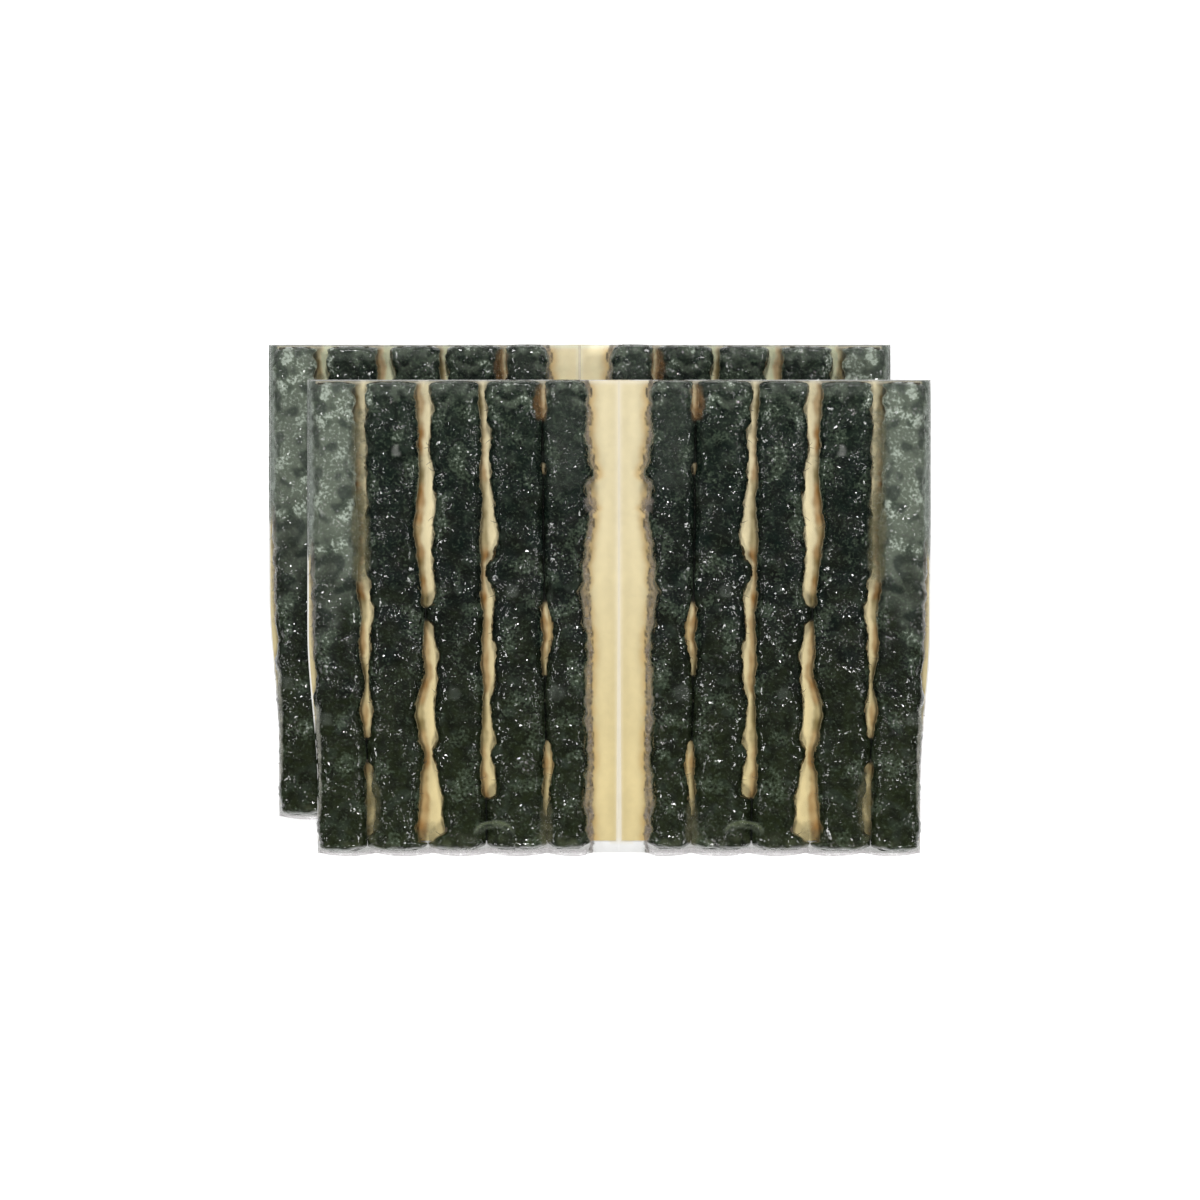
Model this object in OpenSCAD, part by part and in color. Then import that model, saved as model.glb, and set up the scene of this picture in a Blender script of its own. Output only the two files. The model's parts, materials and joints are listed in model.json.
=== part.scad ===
// Tyre repair strips on peel-off cards.
// Four cards lie in two pairs, one pair on top of the other. Each card is a
// white backing, a waxed release paper, sticky rubber strips with cords inside
// them, and a clear film pressed over the strips.
// Origin: middle of the stack, on the surface it lies on. +Y is the top edge.

/* [Strips] */
// Strips on one card
strip_count = 5; // [2:1:5]
// Length of a strip
strip_l = 60; // [40:1:120]
// Width of a strip
strip_w = 6.2; // [5:0.1:10]
// Width of the trimmed strip nearest the pair's middle line
inner_strip_w = 5; // [4.2:0.1:10]
// Thickness of a strip
strip_h = 3; // [2:0.1:5]
// Radius of a strip's two upper long edges
strip_round = 1.2; // [0.6:0.1:1.5]
// Space between neighbouring strips
strip_gap = 1.3; // [0.6:0.1:3]
// Lean of the strips, in degrees, lower ends towards the pair's middle line
strip_lean = 0.62; // [0:0.02:1]

/* [Cords] */
// Cords inside one strip
cords_per_strip = 3; // [2:1:3]
// Diameter of a cord
cord_d = 1.2; // [0.8:0.05:1.4]
// Clearance between a cord and the rubber around it
cord_clearance = 0.03; // [0.02:0.01:0.05]

/* [Card] */
// Bare paper between the middle line's edge and the nearest strip
inner_margin = 4; // [2:0.1:8]
// Bare backing outside the outermost strip
outer_margin = 0.8; // [0.6:0.1:6]
// Backing above the strips
top_margin = 0.2; // [0.2:0.1:4]
// Backing below the strips
bottom_margin = 0.4; // [0.4:0.1:4]
// Thickness of the white backing
backing_t = 0.15; // [0.1:0.05:0.5]
// Thickness of the release paper
paper_t = 0.15; // [0.1:0.05:0.5]
// Release paper's setback from the backing, at the middle line
paper_inner_setback = 0.25; // [0:0.05:1]
// Release paper's setback from the backing, at the outer edge
paper_outer_setback = 0.2; // [0:0.1:0.5]
// Release paper's setback from the backing's top edge
paper_top_setback = 0.1; // [0:0.1:2]
// Release paper's setback from the backing's bottom edge
paper_bottom_setback = 1.6; // [0:0.1:2]
// Clearance between a sheet and what lies loosely on it
lay_gap = 0.03; // [0.02:0.01:0.1]

/* [Film] */
// Thickness of the clear film
film_t = 0.12; // [0.08:0.01:0.3]
// Clearance between the film and the strips under it
film_gap = 0.1; // [0.05:0.01:0.2]
// Depth of the film's dip between two strips, below its crown
film_dip = 1.5; // [0.6:0.1:1.6]
// Film's setback from the backing's long edges
film_setback = 0.1; // [0:0.05:0.5]
// Film that hangs past the backing's bottom edge
film_overhang = 0.4; // [0:0.1:3]

/* [Stack] */
// Gap between the two cards of a pair
pair_gap = 0.2; // [0.1:0.1:5]
// Shift of the upper pair to the right
shift_x = 5.05; // [0:0.05:20]
// Shift of the upper pair towards the bottom edge
shift_y = 4.6; // [0:0.1:20]
// Clearance between the lower film's crown and the upper backing
stack_gap = 0.1; // [0.05:0.05:1]

/* [Hidden] */
$fn = 32;
card_w = inner_margin + inner_strip_w + (strip_count - 1) * (strip_w + strip_gap) + outer_margin;
card_h = top_margin + strip_l + bottom_margin;
film_h = card_h + film_overhang;
paper_z = backing_t;
lay_z = backing_t + paper_t + lay_gap;
card_thick = lay_z + strip_h + film_gap + film_t;
// Long enough for a cut to run past every edge of a card
past = 2;

// Name, level in the stack (0 lower, 1 upper) and side (-1 left, 1 right)
CARDS = [
    ["lower_left", 0, -1],
    ["lower_right", 0, 1],
    ["upper_left", 1, -1],
    ["upper_right", 1, 1],
];

// Strip 1 is the outermost, strip_count the one nearest the middle line
function width_of(i) = i == strip_count ? inner_strip_w : strip_w;
function strip_x(i) = i == strip_count
    ? inner_margin + inner_strip_w / 2
    : inner_margin + inner_strip_w + (strip_count - i) * (strip_w + strip_gap) - strip_w / 2;

// Moves a card's pieces into the stack. A card is drawn as a right-hand one,
// with its middle-line edge at x = 0 and its top edge at y = 0.
module in_stack(card) {
    translate([
        (card[1] - 0.5) * shift_x,
        (film_h + shift_y) / 2 - card[1] * shift_y,
        card[1] * (card_thick + stack_gap)
    ])
        mirror([card[2] < 0 ? 1 : 0, 0, 0])
            translate([pair_gap / 2, 0, 0])
                children();
}

// Runs a section along the strips: its x is the card's, its y is height above
// the paper, and it is centred on the strips' length.
module along_strips(length) {
    translate([card_w / 2, -top_margin - strip_l / 2, lay_z])
        rotate([90, 0, -strip_lean])
            translate([-card_w / 2, 0, -length / 2])
                linear_extrude(height = length)
                    children();
}

// A strip's section: flat underneath, its two upper edges rounded
module strip_section(i, grow = 0, below = 0) {
    r = strip_round + grow;
    half = width_of(i) / 2 + grow;
    top = strip_h + grow;
    translate([strip_x(i), 0]) {
        translate([-half, -below])
            square([2 * half, top - r + below]);
        translate([r - half, 0])
            square([2 * (half - r), top]);
        for (side = [-1, 1])
            translate([side * (half - r), top - r])
                circle(r = r);
    }
}

// The space under the film, grown outwards by a distance
module under_film(grow, below = 0) {
    for (i = [1 : strip_count])
        strip_section(i, grow, below);
    translate([strip_x(strip_count), -below])
        square([strip_x(1) - strip_x(strip_count), strip_h - film_dip + grow + below]);
}

module backing(card) {
    color("white")
        in_stack(card)
            translate([0, -card_h, 0])
                cube([card_w, card_h, backing_t]);
}

module paper(card) {
    color("wheat")
        in_stack(card)
            translate([paper_inner_setback, paper_bottom_setback - card_h, paper_z])
                cube([
                    card_w - paper_inner_setback - paper_outer_setback,
                    card_h - paper_top_setback - paper_bottom_setback,
                    paper_t
                ]);
}

module film(card) {
    color([0.82, 0.84, 0.82, 0.35])
        in_stack(card)
            intersection() {
                along_strips(strip_l + 2 * past)
                    difference() {
                        union() {
                            under_film(film_gap + film_t);
                            translate([-past, 0])
                                square([card_w + 2 * past, film_t]);
                        }
                        under_film(film_gap, film_t);
                    }
                translate([film_setback, -film_h, 0])
                    cube([card_w - 2 * film_setback, film_h, card_thick]);
            }
}

// The cords' sections side by side across a strip, halfway up it
module cord_sections(i, diameter) {
    spacing = width_of(i) / cords_per_strip;
    for (k = [0 : cords_per_strip - 1])
        translate([strip_x(i) + (k - (cords_per_strip - 1) / 2) * spacing, strip_h / 2])
            circle(d = diameter);
}

module strip(card, i) {
    color([0.13, 0.16, 0.14])
        in_stack(card)
            along_strips(strip_l)
                difference() {
                    strip_section(i);
                    cord_sections(i, cord_d + 2 * cord_clearance);
                }
}

module cords(card, i) {
    color([0.24, 0.2, 0.13])
        in_stack(card)
            along_strips(strip_l)
                cord_sections(i, cord_d);
}

for (card = CARDS) {
    backing(card);
    paper(card);
    film(card);
    for (i = [1 : strip_count]) {
        strip(card, i);
        cords(card, i);
    }
}
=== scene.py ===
import json
import math

import bpy
import numpy as np
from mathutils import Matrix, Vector, noise

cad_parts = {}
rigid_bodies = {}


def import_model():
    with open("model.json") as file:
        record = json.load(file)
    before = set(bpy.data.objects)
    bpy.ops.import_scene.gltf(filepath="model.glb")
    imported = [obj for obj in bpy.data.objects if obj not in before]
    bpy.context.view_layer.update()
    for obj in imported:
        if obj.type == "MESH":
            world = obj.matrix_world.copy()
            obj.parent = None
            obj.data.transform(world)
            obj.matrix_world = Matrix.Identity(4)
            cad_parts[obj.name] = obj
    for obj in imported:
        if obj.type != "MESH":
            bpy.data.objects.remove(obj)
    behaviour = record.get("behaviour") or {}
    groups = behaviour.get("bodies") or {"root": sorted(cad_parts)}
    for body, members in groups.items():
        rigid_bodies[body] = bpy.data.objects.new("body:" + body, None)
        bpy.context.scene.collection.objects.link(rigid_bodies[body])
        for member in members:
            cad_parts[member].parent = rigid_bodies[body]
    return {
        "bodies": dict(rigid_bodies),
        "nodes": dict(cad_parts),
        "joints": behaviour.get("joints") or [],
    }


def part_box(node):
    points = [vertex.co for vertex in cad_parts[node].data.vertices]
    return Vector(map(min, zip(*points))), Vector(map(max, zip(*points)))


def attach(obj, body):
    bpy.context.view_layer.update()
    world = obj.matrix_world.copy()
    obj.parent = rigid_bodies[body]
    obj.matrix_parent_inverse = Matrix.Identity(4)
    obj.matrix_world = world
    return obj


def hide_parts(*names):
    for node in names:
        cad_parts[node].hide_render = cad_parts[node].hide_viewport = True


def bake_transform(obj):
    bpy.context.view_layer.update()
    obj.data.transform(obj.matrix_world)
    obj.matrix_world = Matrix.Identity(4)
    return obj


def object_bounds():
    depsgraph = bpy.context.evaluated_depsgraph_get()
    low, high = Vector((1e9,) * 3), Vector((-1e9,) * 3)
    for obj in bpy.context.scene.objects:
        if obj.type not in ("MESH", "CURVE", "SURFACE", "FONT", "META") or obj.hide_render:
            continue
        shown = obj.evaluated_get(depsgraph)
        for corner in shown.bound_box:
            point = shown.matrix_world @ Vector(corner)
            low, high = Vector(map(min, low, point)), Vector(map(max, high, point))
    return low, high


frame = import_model()
cad_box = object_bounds()

# ---- Table, camera and lamps ----
# The cards lie on a plain white table and are seen from straight above through a long lens. Two
# strong lamps stand in line with the strips and shine down into the gaps between them. Four weak
# ones at the sides add glints to the strips' wet-looking skin.
share_of_view = 0.5537
camera_height, camera_side = 1.2, 0.0001
sensor = 36
lamp_distance, lamp_radius = 0.9, 0.08
key_tilt, key_power = 43, 4.0
side_tilt, side_power = 47, 1.0
room_colour, room_strength = (1.0, 0.99, 0.95), 0.08
table_size, table_drop, table_glow = 6, 0.0001, 0.36


def lit(red, green, blue):
    """A colour given as it looks, 0 to 255, in the light values that shaders take."""
    looks = np.array((red, green, blue)) / 255
    return np.where(looks <= 0.04045, looks / 12.92, ((looks + 0.055) / 1.055) ** 2.4)


def finish_of(name, colour, roughness):
    """A new material, its shader, and short ways to add a node and a link to it."""
    made = bpy.data.materials.new(name)
    made.use_nodes = True
    tree = made.node_tree
    shader = tree.nodes["Principled BSDF"]
    shader.inputs["Base Color"].default_value = (*colour, 1)
    shader.inputs["Roughness"].default_value = roughness
    return made, shader, tree.nodes.new, tree.links.new


def lamp(name, bearing, tilt, power):
    """A round lamp aimed at the cards, tilted from overhead towards a compass bearing."""
    light = bpy.data.lights.new(name, "AREA")
    light.shape = "DISK"
    light.size = 2 * lamp_radius
    light.energy = power
    stand = bpy.data.objects.new(name, light)
    bpy.context.scene.collection.objects.link(stand)
    across, up = math.radians(bearing), math.radians(tilt)
    away = Vector((math.sin(across) * math.sin(up), math.cos(across) * math.sin(up), math.cos(up)))
    stand.location = away * lamp_distance
    stand.rotation_mode = "QUATERNION"
    stand.rotation_quaternion = away.to_track_quat("Z", "Y")


scene = bpy.context.scene
scene.view_settings.view_transform = "Standard"
lens = bpy.data.cameras.new("camera")
camera = bpy.data.objects.new("camera", lens)
scene.collection.objects.link(camera)
view_width = (cad_box[1].x - cad_box[0].x) / share_of_view
lens.sensor_width = sensor
lens.lens = sensor * camera_height / view_width
camera.location = (camera_side, 0, cad_box[1].z + camera_height)
scene.camera = camera

for bearing in (0, 180):
    lamp(f"key_{bearing}", bearing, key_tilt, key_power)
for bearing in (62, 118, 242, 298):
    lamp(f"side_{bearing}", bearing, side_tilt, side_power)

world = bpy.data.worlds.new("room")
scene.world = world
world.use_nodes = True
world.node_tree.nodes["Background"].inputs["Color"].default_value = (*room_colour, 1)
world.node_tree.nodes["Background"].inputs["Strength"].default_value = room_strength

bpy.ops.mesh.primitive_plane_add(size=table_size, location=(0, 0, cad_box[0].z - table_drop))
table = bpy.context.object
table.name = "table"
table_top, table_shader, _, _ = finish_of("white_table", (0.95, 0.95, 0.95), 0.9)
table_shader.inputs["Emission Color"].default_value = (1, 1, 1, 1)
table_shader.inputs["Emission Strength"].default_value = table_glow
table_shader.inputs["Specular IOR Level"].default_value = 0.1
table.data.materials.append(table_top)

# ---- Backing ----
# A sheet of smooth white card under each set of strips, about as thick as a postcard. Some of the
# paper's wax has creamed it beside the middle line. It is cut with a blade, so its lower edge
# wanders by a few hundredths of a millimetre, and its outer edge is trimmed in further down.
mm = 0.001
card_names = sorted(name[: -len("_backing")] for name in frame["nodes"] if name.endswith("_backing"))


class Card:
    """One card's place: u runs outwards from the middle line, t down from the top edge, z up."""

    def __init__(self, name):
        low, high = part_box(f"{name}_backing")
        self.name = name
        self.side = -1 if name.endswith("left") else 1
        self.middle = (high.x if self.side < 0 else low.x) / mm
        self.top, self.base = high.y / mm, low.z / mm
        self.width, self.height = (high.x - low.x) / mm, (high.y - low.y) / mm

    def place(self, u, t, z):
        """Points of the card, given in millimetres, where they lie in the stack."""
        spots = np.stack(np.broadcast_arrays(self.middle + self.side * u, self.top - t, self.base + z), -1)
        return spots.reshape(-1, 3) * mm

    def span(self, part):
        """A part's lowest and highest u, t and z on this card."""
        low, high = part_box(f"{self.name}_{part}")
        us = sorted(self.side * (x / mm - self.middle) for x in (low.x, high.x))
        ts = self.top - high.y / mm, self.top - low.y / mm
        return us, ts, (low.z / mm - self.base, high.z / mm - self.base)


cards = [Card(name) for name in card_names]
first = cards[0]


def piece(name, card, points, faces, finish, smooth=True, **colours):
    """A mesh on a card, with the colours that its finish reads at each point."""
    made = bpy.data.meshes.new(name)
    turned = [face[::-1] for face in faces] if card.side < 0 else faces
    made.from_pydata(points.tolist(), [], turned)
    for label, values in colours.items():
        kind, slot = ("FLOAT", "value") if values.ndim == 1 else ("FLOAT_COLOR", "color")
        layer = made.attributes.new(label, kind, "POINT")
        full = values if values.ndim == 1 else np.c_[values, np.ones(len(values))]
        layer.data.foreach_set(slot, full.astype(np.float32).ravel())
    made.materials.append(finish)
    made.polygons.foreach_set("use_smooth", [smooth] * len(made.polygons))
    shown = bpy.data.objects.new(name, made)
    scene.collection.objects.link(shown)
    return shown


def sheet_faces(rows, columns):
    """Faces of a closed sheet: its upper points row by row, then its under points in the same order."""
    grid = np.arange(rows * columns).reshape(rows, columns)
    quads = np.stack([grid[:-1, :-1], grid[1:, :-1], grid[1:, 1:], grid[:-1, 1:]], -1).reshape(-1, 4)
    under = quads[:, ::-1] + rows * columns
    rim = np.r_[grid[0, :-1], grid[:-1, -1], grid[-1, :0:-1], grid[:0:-1, 0]]
    ahead = np.roll(rim, -1)
    edge = np.stack([rim, ahead, ahead + rows * columns, rim + rows * columns], -1)
    return np.r_[quads, under, edge].tolist()


def wander(values, size, seed):
    """Smooth random waves between about -1 and 1 along a line, each wave about as long as size."""
    return np.array([noise.noise((v / size, seed * 7.3, seed * 1.7)) for v in np.ravel(values)]) * 1.6


def ramp(value, start, end):
    """0 before start, 1 after end, eased in between."""
    share = np.clip((value - start) / (end - start), 0, 1)
    return share * share * (3 - 2 * share)


def mixed(below, above, share):
    """One colour laid over another, point by point."""
    return below + (np.asarray(above) - below) * share[..., None]


def cloud(x, y, size, seed):
    """Smooth random patches between about -1 and 1 over a surface."""
    spots = np.stack(np.broadcast_arrays(x, y), -1).reshape(-1, 2) / size
    return np.array([noise.noise((a, b, seed * 3.7)) for a, b in spots]).reshape(np.shape(x)) * 1.6


white_card, card_shader, node, link = finish_of("white_card", lit(230, 230, 230), 0.62)
card_shader.inputs["Specular IOR Level"].default_value = 0.25
fibres = node("ShaderNodeTexNoise")
fibres.inputs["Scale"].default_value = 900
fibres.inputs["Detail"].default_value = 5
tint = node("ShaderNodeValToRGB")
tint.color_ramp.elements[0].color = (*lit(229, 229, 228), 1)
tint.color_ramp.elements[1].color = (*lit(238, 238, 238), 1)
waxed = node("ShaderNodeAttribute")
waxed.attribute_name = "waxed"
tone = node("ShaderNodeVectorMath")
tone.operation = "MULTIPLY"
relief = node("ShaderNodeBump")
relief.inputs["Strength"].default_value = 0.15
relief.inputs["Distance"].default_value = 0.00005
place_on = node("ShaderNodeTexCoord")
link(place_on.outputs["Object"], fibres.inputs["Vector"])
link(fibres.outputs["Fac"], tint.inputs["Fac"])
link(tint.outputs["Color"], tone.inputs[0])
link(waxed.outputs["Color"], tone.inputs[1])
link(tone.outputs["Vector"], card_shader.inputs["Base Color"])
link(fibres.outputs["Fac"], relief.inputs["Height"])
link(relief.outputs["Normal"], card_shader.inputs["Normal"])

cut_wander = 0.05
pair_closes = 0.095
wax_cream, foot_grey = (0.94, 0.87, 0.7), (0.9, 0.9, 0.89)
wax_width, wax_foot, foot_length = 1, 1.7, 1.8
outer_trim, trim_start, trim_end = 1.3, 32, 52
backing_columns, backing_rows = 42, 62


def trimmed(t):
    """How far the outer edge is trimmed back, more towards the lower ends of the strips."""
    return outer_trim * ramp(t, trim_start, trim_end)


for card in cards:
    low_z, high_z = card.span("backing")[2]
    across, down = np.linspace(0, card.width, backing_columns), np.linspace(0, card.height, backing_rows)
    u, t = np.meshgrid(across, down)
    cream = mixed(np.ones((*u.shape, 3)), wax_cream, (u < wax_width) * (t < card.height - wax_foot))
    cream = mixed(cream, foot_grey, ramp(t, card.height - foot_length, card.height)).reshape(-1, 3)
    u = u * (1 - trimmed(t) / card.width) - pair_closes * (u == 0)
    t = t - cut_wander * (1 + wander(u, 11, 5).reshape(t.shape)) / 2 * (t == card.height)
    points = np.r_[card.place(u, t, np.full(u.shape, high_z)), card.place(u, t, np.full(u.shape, low_z))]
    backing = piece(f"{card.name}_white_backing", card, points, sheet_faces(*u.shape), white_card,
                    smooth=False, waxed=np.r_[cream, cream])
    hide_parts(f"{card.name}_backing")
    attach(backing, card.name)

# ---- Lanes ----
# The strips lean a little, so they are drawn in lanes: x is the place across the card at the
# strips' mid length, s the distance from their upper ends. Each gap's two edges are given from
# its parting line, which no strip crosses, so that each strip can be drawn out along its lane.
strip_count = sum(name.startswith(f"{first.name}_strip_") for name in frame["nodes"])
draw = next(j for j in frame["joints"] if j["child"] == f"{first.name}_strip_1")
lean = math.asin(abs(draw["axis"][0]))
tilt_cos, tilt_sin = math.cos(lean), math.sin(lean)


def strip_size(i):
    """Width, length, and middle in u and t, of the strip in lane i, without its lean."""
    (u0, u1), (t0, t1), _ = first.span(f"strip_{i}")
    wide, long = u1 - u0, t1 - t0
    squeeze = tilt_cos**2 - tilt_sin**2
    width = (wide * tilt_cos - long * tilt_sin) / squeeze
    length = (long * tilt_cos - wide * tilt_sin) / squeeze
    return width, length, (u0 + u1) / 2, (t0 + t1) / 2


sizes = {i: strip_size(i) for i in range(1, strip_count + 1)}
strip_length = sizes[1][1]
pivot_u = first.width / 2
pivot_t = float(np.interp(pivot_u, *zip(*sorted((u, t) for _, _, u, t in sizes.values()))))
lane_middle = {i: pivot_u + (u - pivot_u) / tilt_cos for i, (_, _, u, _) in sizes.items()}
lane_edges = {i: (lane_middle[i] - sizes[i][0] / 2, lane_middle[i] + sizes[i][0] / 2) for i in sizes}


def from_lane(x, s):
    """u and t of a place in the lanes."""
    across, along = x - pivot_u, s - strip_length / 2
    return pivot_u + across * tilt_cos - along * tilt_sin, pivot_t + along * tilt_cos + across * tilt_sin


def to_lane(u, t):
    """The lanes' x and s of a place on the card."""
    across, along = u - pivot_u, t - pivot_t
    x = pivot_u + across * tilt_cos + along * tilt_sin
    return x, strip_length / 2 + along * tilt_cos - across * tilt_sin


def eased(stops, s, column):
    """A value eased from one given stop to the next along the strips."""
    places = np.array([stop[0] for stop in stops], float)
    values = np.array([stop[column] for stop in stops], float)
    k = np.clip(np.searchsorted(places, s, "right") - 1, 0, len(stops) - 2)
    share = np.clip((s - places[k]) / (places[k + 1] - places[k]), 0, 1)
    return values[k] + (values[k + 1] - values[k]) * share * share * (3 - 2 * share)


def scallops(s, size, seed):
    """Round swellings with sharp notches between them, from -1 to 1."""
    return 2 * np.abs(np.sin(math.pi * (s / size + 0.5 * wander(s, 2.6 * size, seed)) / 2)) - 1


# Each gap: its parting line's place out from the middle of the space left for it, then stops of
# (s, how far the outer strip stands back, how far the inner strip stands back)
GAPS = {
    1: (0.2, [(0, 0.9, 0.3), (1, 1.5, 0.5), (2.3, 1.2, 0.4), (3.8, 1.5, 0.55), (5.5, 1.1, 0.4),
              (9, 1.2, 0.4), (12, 1.3, 0.4), (14, 1.2, 0.5), (18, 0.9, 0.35), (24, 1, 0.25),
              (26.5, 1.1, 0.9), (29, 0.8, 1.2), (34, 0.9, 0.6), (38, 0.3, 0.5), (42, 0.9, 0.8),
              (45, 0.4, 0.7), (46, 0, 0), (48, 0, 0), (49.5, 0.4, 0.8), (55.5, 0.3, 1.2),
              (57.5, 0.1, 0.7), (58.5, 0, 0), (60, 0, 0)]),
    2: (0.0, [(0, 0.95, 0.85), (1.5, 1.1, 1), (3.5, 0.9, 1.3), (7.5, 0.95, 0.75), (11, 0.7, 1.2),
              (16.5, 1.1, 1.5), (19, 1.5, 1.2), (22, 1.1, 0.95), (26, 0.8, 1.3), (28.3, 0.6, 1.1),
              (29.2, 0, 0.1), (30.3, 0, 0.1), (31.5, 0.3, 1.1), (35.5, 0.5, 1.6), (37.2, 0.1, 1.4),
              (39.5, 0.9, 1.4), (42, 1.5, 1), (45, 1.1, 1.4), (48, 0.4, 0.9), (51, 0.9, 1.6),
              (54.5, 1.1, 2), (57.5, 1.5, 2.1), (58.8, 1.2, 0.9), (59.4, 0, 0), (60, 0, 0)]),
    3: (0.0, [(0, 0.6, 0.55), (2, 0.6, 0.7), (5, 0.35, 0.75), (6.6, 0.25, 1.4), (8.2, 0.25, 1),
              (12, 0.5, 1.1), (16, 0.2, 1.5), (20.5, 0.5, 2), (22, 0.4, 1.6), (23.6, 0.4, 0.6),
              (25, 0.4, 0.6), (27.5, 0.5, 1.6), (30.5, 0.2, 1.1), (36, 0.5, 1.5), (39, 0.2, 1.3),
              (41.5, 0.4, 0.7), (46, 0.7, 1.25), (48, 0.7, 0.8), (51, 0.7, 1.4), (52.8, 0.5, 1.2),
              (53.8, 0, 0), (60, 0, 0)]),
    4: (-0.2, [(0, 0.2, 0.2), (0.8, 0.3, 0.5), (2.5, 0.5, 0.7), (4.6, 0.3, 0.5), (5.4, 0, 0),
               (9.9, 0, 0.1), (11.2, 0.5, 0.6), (12.6, 0, 0.1), (27, 0, 0), (28, 0.1, 0.5),
               (29.6, 0.6, 0.7), (31.5, 0.5, 1.1), (33, 0.2, 1.2), (34.5, 0.5, 0.8),
               (37.5, 0.5, 0.25), (38.3, 0, 0), (45.4, 0, 0), (46.6, 0.4, 0.8), (50, 0.4, 0.9),
               (53, 0.6, 0.5), (55.5, 0.5, 0.2), (56.4, 0, 0), (60, 0, 0)]),
}
# How far the outermost strip's outer edge and the innermost strip's inner edge stand beyond their lanes
OUTER_EDGE = [(0, -0.1), (3, 0.1), (6, -0.2), (9.3, 0.2), (12, -0.2), (17, 0.1), (25, 0.2),
              (32, 0.1), (40, -0.2), (50, -0.35), (60, -0.4)]
INNER_EDGE = [(0, 0.2), (4, 0.3), (8, 0.3), (10.2, 0.7), (12.4, 1.15), (13.6, 0.1), (15.7, 0.4),
              (16.4, 1.1), (17.2, 0.5), (19.8, 0.4), (21.5, -0.1), (28, -0.5), (34, 0.2),
              (42, -0.3), (48, 0.1), (53, -0.4), (60, 0)]
parting_clearance = 0.02
outer_bulge, inner_bulge = 0.2, 0.15


def parting(gap):
    """Place across the lanes of the line between two strips."""
    return (lane_edges[gap][0] + lane_edges[gap + 1][1]) / 2 + GAPS[gap][0]


def gap_edges(gap, s):
    """Places across the lanes of the outer and the inner strip's edge along one gap."""
    stops = GAPS[gap][1]
    back_outer = eased(stops, s, 1) + 0.09 * wander(s, 1.3, gap) + 0.06 * wander(s, 0.5, gap + 9)
    back_inner = eased(stops, s, 2) - 0.13 * scallops(s, 1.9, gap) - 0.05 * wander(s, 0.5, gap + 20)
    merged_outer, merged_inner = eased(stops, s, 1) < 0.02, eased(stops, s, 2) < 0.02
    back_outer = np.where(merged_outer, 0, np.maximum(back_outer - outer_bulge, 0))
    back_inner = np.where(merged_inner, 0, np.maximum(back_inner - inner_bulge, 0))
    return parting(gap) + parting_clearance + back_outer, parting(gap) - parting_clearance - back_inner


def strip_edges(i, s):
    """Places across the lanes of a strip's inner and outer edge."""
    if i < strip_count:
        inner = gap_edges(i, s)[0]
    else:
        inner = lane_edges[i][0] - eased(INNER_EDGE, s, 1)
        inner = inner - 0.16 * scallops(s, 1.7, 31) - 0.07 * wander(s, 0.6, 32)
    if i > 1:
        outer = gap_edges(i - 1, s)[1]
    else:
        outer = lane_edges[i][1] + eased(OUTER_EDGE, s, 1)
        outer = outer + 0.14 * scallops(s, 2.1, 33) + 0.06 * wander(s, 0.6, 34)
    return inner, outer


# ---- Release paper ----
# Waxed cream paper on the backing, a little smaller than it, from which the strips peel off.
# Oil from the rubber has soaked into it along the outer side of each gap and left a brown band,
# which also holds painted shadow from the outer strip, with a painted shadow line along its edge.
# Beside the innermost strip it has an ochre of oil stain and painted shade, and painted contact
# shade under the strips' upper ends. Painted light brightens the gaps, which the strips shade, and
# the top of the lower cards' paper, which the upper cards shade. Its lower half has yellowed more.
# It is paler along its top and beside the middle line.
paper_step = 0.2
inner_reach, inner_stretch = 0.18, 1.5
# How much painted light brightens the paper in the gaps, which the strips shade, and how far beside each
# gap it and the stain reach
gap_painted_light, gap_reach = 0.24, 1.5
# How much painted light brightens the top of the lower cards' paper, which the upper cards shade, and over
# what length
painted_light_gain, painted_light_length = 0.33, 5
cream_top, cream_bottom = lit(223, 210, 171), lit(215, 197, 145)
# Brown and olive of oil stain mixed with painted shade, and the ochre of oil stain and painted shade beside
# the innermost strip
oil_and_shadow_brown, oil_and_shade_olive, rim_oil_and_shade_ochre = lit(154, 108, 48), lit(118, 100, 50), lit(200, 160, 92)
# Near-black of rubber smeared where strips touch, which also paints contact shade under the strips' upper
# ends
rubber_smear_and_shade, top_pale, under_haze = lit(12, 15, 11), lit(236, 226, 203), lit(104, 112, 104)


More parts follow.
